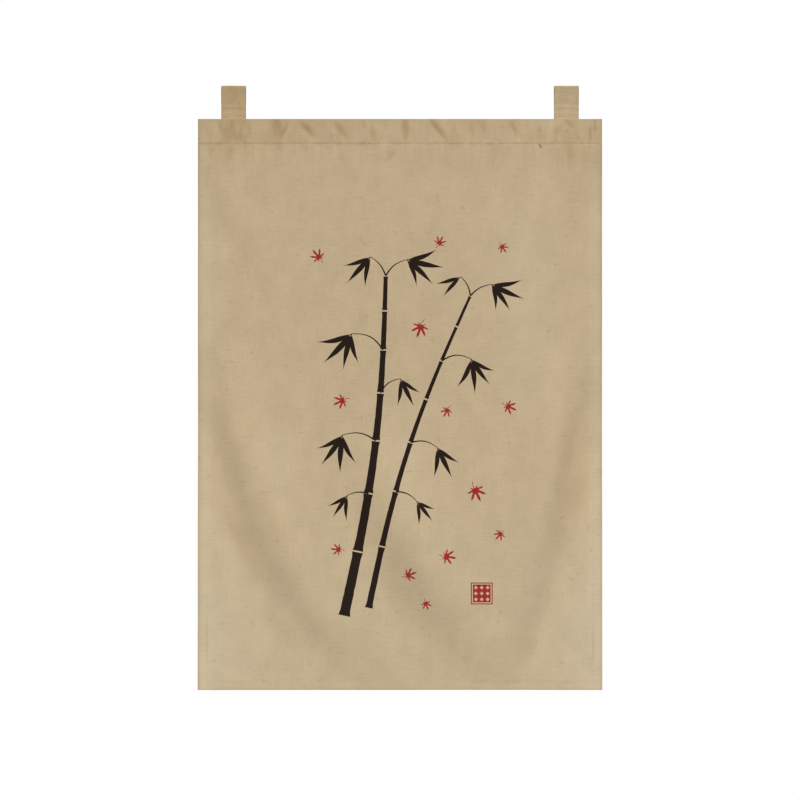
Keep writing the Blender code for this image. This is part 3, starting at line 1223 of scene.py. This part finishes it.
@dataclass
class Panel:
    """The printed panel: one fine sheet on the solid's folds, with the print cut into its mesh.

    Steps are distances from an edge or from a line of stitches to a line of the mesh.
    """

    form: ClothForm
    print_: BambooPrint
    pitch: float = 0.0068
    heading_pitch: float = 0.0030
    under_pitch: float = 0.0042
    under_depth: float = 0.040
    clearance: float = 0.0016
    edge_steps: tuple[float, ...] = (0.0, 0.00025, 0.0006, 0.0010, 0.0020)
    side_steps: tuple[float, ...] = (0.006, 0.011, 0.0155)
    foot_steps: tuple[float, ...] = (0.006, 0.011, 0.016)
    seam_steps: tuple[float, ...] = (-0.0030, -0.0014, -0.0007, 0.0, 0.0007, 0.0014, 0.0022, 0.0030)
    cut: tuple[float, float] = (0.910, 1.289)
    black: Colour = (0.0105, 0.0040, 0.0042)
    red: Colour = (0.345, 0.0105, 0.0140)

    def evenly(self, low: float, high: float) -> list[float]:
        """Mesh lines from low to high, no further apart than the panel's pitch."""
        return np.linspace(low, high, math.ceil((high - low) / self.pitch) + 1).tolist()

    def across_stations(self) -> tuple[list[float], list[float]]:
        """Mesh lines across the panel.

        Returns:
            All of the lines' places, and those that lie along a hem's stitches.
        """
        half = self.form.width / 2
        hem = half - self.form.side_hem
        seam = [side * (hem - step) for side in (-1, 1) for step in self.seam_steps]
        edge = [side * (half - step) for side in (-1, 1) for step in self.edge_steps + self.side_steps]
        inner = hem - max(self.seam_steps) - self.pitch / 2
        return sorted(seam + edge + self.evenly(-inner, inner)), seam

    def drop_stations(self) -> tuple[list[float], list[float]]:
        """Mesh lines down the panel.

        Returns:
            All of the lines' drops, and those that lie along a line of stitches.
        """
        form = self.form
        foot = form.length - form.bottom_hem
        seams = [form.heading + step for step in self.seam_steps] + [foot - step for step in self.seam_steps]
        edges = [*self.edge_steps, *(form.length - step for step in self.edge_steps + self.foot_steps)]
        heading = np.arange(0.0045, form.heading - 0.004, self.heading_pitch).tolist()
        under_end = form.heading + self.under_depth
        under = np.arange(form.heading + 0.006, under_end, self.under_pitch).tolist()
        body = self.evenly(under_end + 0.002, foot - max(self.seam_steps) - self.pitch / 2)
        return sorted(seams + edges + heading + under + body), seams

    def grid(self, outlines: list[Outline]) -> tuple[Outline, list[tuple[int, int]]]:
        """The crossings of the mesh lines that are clear of the print.

        Args:
            outlines: The print's outlines.

        Returns:
            The places, and the edges along the lines of stitches as pairs of the places' numbers.
        """
        drawn = [point for outline in outlines for point in outline]
        near = kdtree.KDTree(len(drawn))
        for number, (across, drop) in enumerate(drawn):
            near.insert((across, drop, 0.0), number)
        near.balance()
        columns, hems = self.across_stations()
        rows, seams = self.drop_stations()
        places, kept = [], {}
        for row, drop in enumerate(rows):
            for column, across in enumerate(columns):
                if near.find((across, drop, 0.0))[2] > self.clearance:
                    kept[row, column] = len(places)
                    places.append((across, drop))
        lines = [((row, column), (row, column + 1)) for row, drop in enumerate(rows) if drop in seams
                 for column in range(len(columns) - 1)]
        lines += [((row, column), (row + 1, column)) for column, across in enumerate(columns)
                  if across in hems for row in range(len(rows) - 1)]
        edges = [(kept[start], kept[end]) for start, end in lines if start in kept and end in kept]
        fine_rows = [drop for drop in rows if 0.004 < drop < self.form.heading + self.under_depth]
        halfway = [(one + two) / 2 for one, two in zip(columns, columns[1:]) if two - one > self.pitch / 2]
        places += [(across, drop) for drop in fine_rows if drop not in seams for across in halfway]
        return places, edges

    def plan(self) -> tuple[Array, Array, Array]:
        """Triangulates the panel's plan, with the print's outlines as cuts.

        Returns:
            The places, the triangles, and the number of the ink on each triangle.
        """
        motifs = self.print_.motifs()
        outlines = [facing_up(motif.outline) for motif in motifs]
        places, edges = self.grid(outlines)
        faces = []
        for outline in outlines:
            faces.append(list(range(len(places), len(places) + len(outline))))
            places += outline
        flat = [Vector(place) for place in places]
        points, _, triangles, _, _, covers = delaunay_2d_cdt(flat, edges, faces, 0, 1e-7, True)
        inks = [motifs[max(cover)].ink.value if cover else Ink.BARE.value for cover in covers]
        return np.array([tuple(point) for point in points]), np.array(triangles), np.array(inks, np.int32)

    def finishes(self) -> list[Linen]:
        """The front's bare, black and red cloth, then the same three as they show at the back.

        Returns:
            The six finishes.
        """
        return [
            Linen("panel linen"),
            Linen("black print", ink=self.black, ink_share=0.99, specular=0.08, sheen=0.0),
            Linen("red print", ink=self.red, ink_share=0.97, specular=0.08, sheen=0.0),
            Linen("panel linen back"),
            Linen("black print back", ink=self.black, ink_share=0.30),
            Linen("red print back", ink=self.red, ink_share=0.22),
        ]

    def build(self) -> Piece:
        """Builds the panel.

        Returns:
            The finished piece.
        """
        places, triangles, inks = self.plan()
        across, drop = places[:, 0], places[:, 1]
        piece = mesh_piece("printed_panel", self.form.points(across, drop), triangles[:, ::-1].tolist())
        dress(piece, *(finish.make() for finish in self.finishes()))
        piece.data.polygons.foreach_set("material_index", inks)
        write_cloth(piece, np.column_stack((across, -drop)), ClothShade(self.form).at(across, drop))
        thicken(piece, self.form.heading_cloth, self.form.thickness(across, drop), -1.0, len(Ink))
        return piece


@dataclass
class TabLoop:
    """A tab: one strap folded double over the rod's place, with its tail behind the heading."""

    node: str
    name: str
    colour: Colour
    # dim_tint and the shades below paint shade on the strap.
    dim_tint: Colour = (0.50, 0.46, 0.42)
    low_shade: float = 0.38
    loop_shade: float = 0.20
    top_shade: float = 0.85
    seam_shade: float = 0.27
    edge_shade: float = 0.60
    edge_reach: float = 0.0020
    shade_lumps: tuple[float, float] = (0.011, 0.013)
    lump_shade: float = 0.11
    tunnel: float = 0.048
    cloth: float = 0.0011
    edge_round: float = 0.0009
    edge_thinning: float = 0.62
    tail_depth: float = 0.0015
    set_back_run: float = 0.016
    row_pitch: float = 0.0008
    edge_steps: tuple[float, ...] = (0.0, 0.0003, 0.0008, 0.0016, 0.0035)
    inner_margin: float = 0.006
    inner_columns: int = 11
    ply_gap: float = 0.0001
    smoothing: int = 10
    sag: float = 0.0004
    crumple: float = 0.00012
    seam_depth: float = 0.00040
    seam_reach: float = 0.0014
    length: float = field(default=0.0, init=False)

    def __post_init__(self) -> None:
        """Takes the tab's place and size from its solid."""
        low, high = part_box(self.node)
        self.centre = (low.x + high.x) / 2
        self.width = high.x - low.x
        self.top, self.foot = high.z, low.z
        self.sewn = self.top - self.tunnel

    def half_line(self, heading_top: float) -> Array:
        """The back ply's middle, from the tail's foot up to the top.

        Args:
            heading_top: Height of the panel's top edge.

        Returns:
            Points of depth and height, half a ply behind the strap's own middle.
        """
        ply = self.cloth / 2 + self.ply_gap
        radius = self.top - self.cloth / 2
        shares = np.linspace(0.0, 1.0, 9)
        set_back = self.tail_depth * (1 - smooth_step(0.0, 1.0, shares)) + ply
        bend = np.column_stack((set_back, heading_top + shares * self.set_back_run))
        leaves = math.asin((radius - ply) / abs(self.sewn) * 0.98)
        turns = np.linspace(-leaves, math.pi / 2, 24)
        loop = np.column_stack((radius * np.cos(turns), radius * np.sin(turns)))
        foot = np.array(((self.tail_depth + ply, self.foot + 0.0004),))
        return np.vstack((foot, bend, ((ply, self.sewn - 0.002), (ply, self.sewn)), loop))

    def midline(self, heading_top: float) -> Array:
        """The strap's middle from the back ply's foot, over the top, to the front ply's foot.

        Args:
            heading_top: Height of the panel's top edge.

        Returns:
            Points of depth and height, a row's pitch apart.
        """
        back = self.half_line(heading_top)
        ply = self.cloth / 2 + self.ply_gap
        front = back[::-1][1:].copy()
        below = front[:, 1] <= self.sewn
        front[:, 0] = np.where(below, front[:, 0] - 2 * ply, -front[:, 0])
        whole = np.vstack((back, front))
        steps = np.concatenate(((0.0,), np.cumsum(np.linalg.norm(np.diff(whole, axis=0), axis=1))))
        even = np.linspace(0.0, steps[-1], math.ceil(steps[-1] / self.row_pitch) + 1)
        line = np.column_stack([np.interp(even, steps, whole[:, axis]) for axis in (0, 1)])
        for _ in range(self.smoothing):
            line[1:-1] = (line[:-2] + 2 * line[1:-1] + line[2:]) / 4
        return line

    def painted_shade(self, across: Array, height: Array) -> Array:
        """The painted shade on the strap: below the stitches, over the loop, over its top against the light
        that falls there, at the stitches and along its edges, with lumps at random.

        Args:
            across: Places across the strap, from its middle.
            height: Heights of the places.

        Returns:
            The painted shade at each place.
        """
        edge = self.edge_shade * near_edge(self.width / 2 - np.abs(across), self.edge_reach)
        below = 1 - smooth_step(self.sewn - 0.001, self.sewn + 0.002, height)
        in_loop = smooth_step(self.sewn + 0.002, self.sewn + 0.012, height)
        at_top = smooth_step(-0.008, self.top - 0.0037, height)
        level = self.low_shade * below + self.loop_shade * in_loop + self.top_shade * at_top
        level += self.seam_shade * bell(height - self.sewn + 0.0025, 0.003)
        lumps = Lumps(*self.shade_lumps, 23.0 + self.centre)
        return edge + level + self.lump_shade * lumps.at(across, height)

    def build(self, heading_top: float) -> Piece:
        """Builds the tab.

        Args:
            heading_top: Height of the panel's top edge.

        Returns:
            The finished piece.
        """
        line = self.midline(heading_top)
        self.length = float(np.linalg.norm(np.diff(line, axis=0), axis=1).sum())
        half, margin = self.width / 2, np.array(self.edge_steps)
        inner = np.linspace(self.inner_margin - half, half - self.inner_margin, self.inner_columns)
        columns = np.concatenate((-half + margin, inner, half - margin[::-1]))
        across = np.tile(columns, len(line))
        row = np.repeat(np.arange(len(line)), len(columns))
        ahead = unit(np.gradient(line, axis=0))
        outward = np.column_stack((ahead[:, 1], -ahead[:, 0]))[row]
        run, height = row * self.row_pitch, line[row, 1]
        out = self.sag * Lumps(0.018, 0.022, 11.0 + self.centre).at(across, run)
        out += self.crumple * Lumps(0.004, 0.012, 14.0 + self.centre).at(across, run)
        out -= self.seam_depth * bell(height - self.sewn, self.seam_reach)
        points = np.column_stack((self.centre + across, line[row] + outward * out[:, None]))
        corners = np.arange(len(points)).reshape(len(line), len(columns))
        faces = np.stack((corners[:-1, :-1], corners[:-1, 1:], corners[1:, 1:], corners[1:, :-1]), axis=-1)
        piece = mesh_piece(self.name, points, faces.reshape(-1, 4).tolist())
        dress(piece, Linen(self.name + " linen", colour=self.colour, dim_tint=self.dim_tint).make())
        write_cloth(piece, np.column_stack((across + self.centre * 3, run)), self.painted_shade(across, height))
        thinned = 1 - self.edge_thinning * near_edge(half - np.abs(across), self.edge_round) ** 2
        thicken(piece, self.cloth, self.cloth * thinned, 0.0, 0)
        return piece


@dataclass
class Stitches:
    """Lines of machine stitches: one bead of thread, copied along each line and joined."""

    thread: bpy.types.Material
    pitch: float = 0.0032
    bead_length: float = 0.0021
    thickness: float = 0.00052
    flattening: float = 0.75
    tip_share: float = 0.45
    bedding: float = 0.00010
    tip_dip: float = 0.00020
    nudge: float = 0.0004

    def bead(self) -> bpy.types.Mesh:
        """Models one stitch along X at the origin: a flattened bar with drawn-in ends.

        Returns:
            The stitch's mesh.
        """
        bar = start_piece(
            bpy.ops.mesh.primitive_cylinder_add, vertices=6, radius=self.thickness / 2,
            depth=self.bead_length, rotation=(0.0, math.pi / 2, 0.0),
        )
        for side in (-1, 1):
            step = ((side * self.thickness / 2, 0.0, 0.0), (1.0, self.tip_share, self.tip_share))
            draw_out(bar, Vector((side, 0.0, 0.0)), [step])
        resize_mesh((1.0, self.flattening, 1.0))
        mesh = bar.data
        bpy.data.objects.remove(bar)
        return mesh

    def spread(self, length: float) -> Array:
        """Evenly spaced shares of a line's length, one for each stitch."""
        count = int(length / self.pitch)
        return (np.arange(count) + 0.5) / count

    def lay(self, name: str, points: Array, ahead: Array, out: Array) -> Piece:
        """Copies the bead to each point and joins the copies.

        Args:
            name: Name of the piece.
            points: Where each stitch lies on the cloth.
            ahead: The line's direction at each point.
            out: The cloth's outward direction at each point.

        Returns:
            The finished piece.
        """
        bead = self.bead()
        shape = np.array([vertex.co for vertex in bead.vertices], float)
        shape[:, 1] -= self.tip_dip * (np.abs(shape[:, 0]) / (self.bead_length / 2)) ** 2
        ahead = unit(ahead)
        out = unit(out - ahead * np.sum(out * ahead, axis=1)[:, None])
        copies = (points + out * (self.thickness * self.flattening / 2 - self.bedding))[:, None, :]
        for axis, direction in enumerate((ahead, out, np.cross(ahead, out))):
            copies = copies + shape[None, :, axis, None] * direction[:, None, :]
        faces = [
            [corner + copy * len(shape) for corner in face.vertices]
            for copy in range(len(points))
            for face in bead.polygons
        ]
        bpy.data.meshes.remove(bead)
        piece = mesh_piece(name, copies.reshape(-1, 3), faces)
        dress(piece, self.thread)
        return piece

    def along_form(
        self, name: str, form: ClothForm, start: tuple[float, float], end: tuple[float, float]
    ) -> list[Piece]:
        """Lays one line of stitches on both faces of the panel.

        Args:
            name: Name of the line.
            form: The shape in which the panel hangs.
            start: The line's first place, as across and drop.
            end: The line's last place.

        Returns:
            The front's piece and the back's.
        """
        run = np.array(end) - np.array(start)
        length = float(np.linalg.norm(run))
        places = np.array(start) + self.spread(length)[:, None] * run
        nudge = run / length * self.nudge
        side_nudge = np.array((-nudge[1], nudge[0]))
        ahead, beside = (
            form.points(*(places + step).T) - form.points(*(places - step).T) for step in (nudge, side_nudge)
        )
        out = np.cross(ahead, beside)
        out = unit(out * np.where(out[:, 1] > 0, -1.0, 1.0)[:, None])
        points = form.points(*places.T)
        behind = points - out * form.thickness(*places.T)[:, None] + unit(ahead) * self.pitch / 2
        return [self.lay(name, points, ahead, out), self.lay(name + "_back", behind, ahead, -out)]

    def across_tab(
        self, name: str, centre: float, width: float, height: float, depth: float, facing: float
    ) -> Piece:
        """Lays one level line of stitches across a tab.

        Args:
            name: Name of the piece.
            centre: The tab's middle.
            width: Length of the line.
            height: Height of the line.
            depth: The y of the cloth there.
            facing: -1 for the front and 1 for the back.

        Returns:
            The finished piece.
        """
        across = centre + (self.spread(width) - 0.5) * width
        points = np.column_stack((across, np.full_like(across, depth), np.full_like(across, height)))
        ahead, out = (np.tile(way, (len(across), 1)) for way in ((1.0, 0.0, 0.0), (0.0, facing, 0.0)))
        return self.lay(name, points, ahead, out)


@dataclass
class ThreadKnot:
    """The tied-off end of a thread: a small wound lump with two short ends hanging from it.

    Each of its ends is a lean in degrees and a length.
    """

    across: float
    drop: float
    thread: bpy.types.Material
    radius: float = 0.0031
    stretch: float = 1.45
    flatness: float = 0.20
    slant: float = 0.25
    winding: float = 4200.0
    winding_depth: float = 0.07
    ends: tuple[tuple[float, float], ...] = ((22.0, 0.0048), (-12.0, 0.0040))
    end_thickness: float = 0.0006
    end_taper: float = 0.86

    def lump(self) -> Piece:
        """The wound lump, slanted and taller than it is wide, with turns of thread pressed in.

        Returns:
            The lump, round the origin.
        """
        lump = start_piece(
            bpy.ops.mesh.primitive_uv_sphere_add, segments=24, ring_count=15, radius=self.radius
        )
        resize_mesh((1.0, self.flatness, self.stretch))
        for vertex in lump.data.vertices:
            place = vertex.co
            turns = math.sin(self.winding * place.z + 1.5 * math.atan2(place.y, place.x))
            place.x *= 1 + self.winding_depth * turns
            place.y *= 1 + self.winding_depth * turns
            place.x -= self.slant * place.z
        return lump

    def end(self, lean: float, length: float) -> Piece:
        """One hanging end of the thread.

        Args:
            lean: How far it leans at first, in degrees.
            length: How far it hangs down.

        Returns:
            The end, drawn thinner towards its tip.
        """
        end = start_piece(
            bpy.ops.mesh.primitive_cylinder_add, vertices=8, radius=self.end_thickness / 2, depth=self.radius
        )
        sides = [math.tan(math.radians(lean * step)) * length / 3 for step in (1.0, 0.6, 0.2)]
        taper = (self.end_taper, self.end_taper, 1.0)
        draw_out(end, Vector((0.0, 0.0, -1.0)), [((side, 0.0, -length / 3), taper) for side in sides])
        return end

    def build(self, form: ClothForm) -> Piece:
        """Builds the knot on the front of the cloth.

        Args:
            form: The shape in which the panel hangs.

        Returns:
            The finished piece.
        """
        parts = [self.lump()] + [self.end(lean, length) for lean, length in self.ends]
        pick(*parts)
        bpy.ops.object.join()
        knot = bpy.context.object
        knot.name = "thread_knot"
        seat = form.points(np.array((self.across,)), np.array((self.drop,)))[0]
        knot.location = Vector(seat) - Vector((0.0, self.radius * self.flatness * 0.6, 0.0))
        bpy.ops.object.transform_apply(location=True, rotation=True, scale=True)
        dress(knot, self.thread)
        return knot


@dataclass(frozen=True)
class SoftLight:
    """An even soft light, by the side and the height it comes from, in degrees."""

    name: str
    azimuth: float
    elevation: float
    softness: float
    strength: float
    colour: Colour


@dataclass
class Studio:
    """The pale floor, the even white surround, the lights and the camera."""

    middle: Vector
    lens: float = 200.0
    sensor: float = 36.0
    view_width: float = 1.683
    floor_height: float = -2.00
    floor_radius: float = 1.1
    floor_shades: tuple[Colour, Colour] = ((0.77, 0.77, 0.76), (0.80, 0.80, 0.79))
    surround: float = 0.33
    surround_colour: Colour = (1.0, 0.945, 0.850)
    lights: tuple[SoftLight, ...] = (
        # name, azimuth, elevation, softness, strength, colour
        SoftLight("key", 6.0, 55.0, 24.0, 3.15, (0.955, 1.0, 1.060)),
        SoftLight("back", 176.0, 40.0, 50.0, 0.90, (1.0, 0.98, 0.95)),
    )

    def floor(self) -> Piece:
        """A plain pale floor, far enough below for the curtain to hang at a door's height.

        Returns:
            The floor.
        """
        floor = start_piece(
            bpy.ops.mesh.primitive_circle_add, vertices=128, radius=self.floor_radius, fill_type="NGON",
            location=(0.0, 0.0, self.floor_height),
        )
        floor.name = "floor"
        bench = Bench("pale floor")
        cloudy = bench.lumps(bench.add("TexCoord", {})["Object"], (1.4, 1.4), 0.0, 2.0)
        bench.fill(bench.shader, {"Base Color": bench.mixed(cloudy, *self.floor_shades), "Roughness": 0.9})
        floor.data.materials.append(bench.material)
        return floor

    def world(self) -> None:
        """An even white surround that is seen as pure white and lights the cloth less than that."""
        world = bpy.data.worlds.new("white studio")
        bpy.context.scene.world = world
        world.use_nodes = True
        tree = world.node_tree
        tree.nodes.clear()
        kinds = ("LightPath", "Background", "Background", "MixShader", "OutputWorld")
        path, lit, seen, mix, output = (tree.nodes.new("ShaderNode" + kind) for kind in kinds)
        looks = ((seen, (1.0, 1.0, 1.0), 1.0), (lit, self.surround_colour, self.surround))
        for node, colour, strength in looks:
            node.inputs["Color"].default_value = (*colour, 1.0)
            node.inputs["Strength"].default_value = strength
        for number, socket in enumerate((path.outputs["Is Camera Ray"], lit.outputs[0], seen.outputs[0])):
            tree.links.new(socket, mix.inputs[number])
        tree.links.new(mix.outputs[0], output.inputs[0])

    def lamps(self) -> None:
        """The soft lights, each turned towards the middle of the panel."""
        for light in self.lights:
            data = bpy.data.lights.new(light.name, "SUN")
            data.angle = math.radians(light.softness)
            data.energy = light.strength
            data.color = light.colour
            lamp = bpy.data.objects.new(light.name, data)
            bpy.context.scene.collection.objects.link(lamp)
            side, rise = math.radians(light.azimuth), math.radians(light.elevation)
            level = math.cos(rise)
            towards = Vector((level * math.sin(side), -level * math.cos(side), math.sin(rise)))
            lamp.location = self.middle + 5 * towards
            lamp.rotation_euler = towards.to_track_quat("Z", "Y").to_euler()

    def camera(self) -> None:
        """A long lens, level with the picture's middle and square on to the cloth."""
        data = bpy.data.cameras.new("camera")
        data.lens = self.lens
        data.sensor_width = self.sensor
        data.clip_end = 100.0
        camera = bpy.data.objects.new("camera", data)
        bpy.context.scene.collection.objects.link(camera)
        distance = self.view_width / 2 / (self.sensor / 2 / self.lens)
        camera.location = (self.middle.x, -distance, self.middle.z)
        camera.rotation_euler = (math.pi / 2, 0.0, 0.0)
        bpy.context.scene.camera = camera

    def build(self) -> None:
        """Builds all of the studio."""
        self.floor()
        self.world()
        self.lamps()
        self.camera()
        bpy.context.scene.view_settings.view_transform = "Standard"
        bpy.context.scene.view_settings.look = "None"


def hang(piece: Piece) -> None:
    """Puts a finished piece on the frame's one body."""
    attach(piece, ROOT)
    log.info("%s: %d faces", piece.name, len(piece.data.polygons))


def sew_panel(form: ClothForm, stitches: Stitches) -> tuple[Piece, list[Piece]]:
    """Builds the panel and what is sewn on it.

    Args:
        form: The shape in which the panel hangs.
        stitches: The stitches of the heading.

    Returns:
        The panel, and the pieces that go with it.
    """
    panel = Panel(form, BambooPrint()).build()
    hang(panel)
    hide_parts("panel")
    hem_stitches = Stitches(SewingThread("hem thread", (0.560, 0.440, 0.285), (0.470, 0.365, 0.230)).make())
    hem = form.width / 2 - form.side_hem
    foot = form.length - form.bottom_hem
    side = form.width / 2 - 0.002
    low, high = form.heading + 0.002, form.length - 0.001
    runs = (
        (stitches, "heading_stitches", (-side, form.heading), (side, form.heading)),
        (hem_stitches, "left_hem_stitches", (-hem, low), (-hem, high)),
        (hem_stitches, "right_hem_stitches", (hem, low), (hem, high)),
        (hem_stitches, "bottom_hem_stitches", (-side, foot), (side, foot)),
    )
    sewn = [line for kind, name, *ends in runs for line in kind.along_form(name, form, *ends)]
    knot_thread = SewingThread("knot thread", (0.440, 0.314, 0.163), (0.375, 0.265, 0.136)).make()
    sewn.append(ThreadKnot(0.2950, 0.0552, knot_thread).build(form))
    for piece in sewn:
        hang(piece)
    return panel, sewn


def sew_tab(tab: TabLoop, form: ClothForm, stitches: Stitches) -> None:
    """Builds one tab and its lines of stitches.

    Args:
        tab: The tab.
        form: The shape in which the panel hangs.
        stitches: The stitches of the tab.
    """
    strap = tab.build(form.top)
    hang(strap)
    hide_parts(tab.node)
    ply = tab.cloth + tab.ply_gap
    tail = tab.tail_depth + ply
    rows = (
        # name, height, depth, facing
        ("_stitches", tab.sewn, 0.0003 - ply, -1.0),
        ("_stitches_back", tab.sewn, ply - 0.0003, 1.0),
        ("_tail_top", form.top - 0.006, tail, 1.0),
        ("_tail_foot", form.top - 0.042, tail, 1.0),
    )
    width = tab.width - 0.005
    lines = [stitches.across_tab(tab.name + end, tab.centre, width, *row) for end, *row in rows]
    for line in lines:
        hang(line)


def main() -> None:
    """Builds the curtain and the studio."""
    logging.basicConfig(level=logging.INFO, format="%(name)s %(message)s")
    tabs = [
        # Each strap's colour is lighter than the panel's linen: painted light that evens out the shade on
        # the loop's downward-facing front.
        # node, name, colour
        TabLoop("tab_left", "left_tab_strap", (0.700, 0.508, 0.290)),
        TabLoop("tab_right", "right_tab_strap", (0.755, 0.588, 0.358)),
    ]
    low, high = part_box("panel")
    form = ClothForm(
        width=0.850,
        length=round(high.z - low.z, 3),
        top=high.z,
        tab_centres=(tabs[0].centre, tabs[1].centre),
        tab_width=tabs[0].width,
    )
    stitches = Stitches(SewingThread().make())
    panel, sewn = sew_panel(form, stitches)
    for tab in tabs:
        sew_tab(tab, form, stitches)
    Studio(Vector((0.0, 0.0, -0.650))).build()


if __name__ == "__main__":
    main()
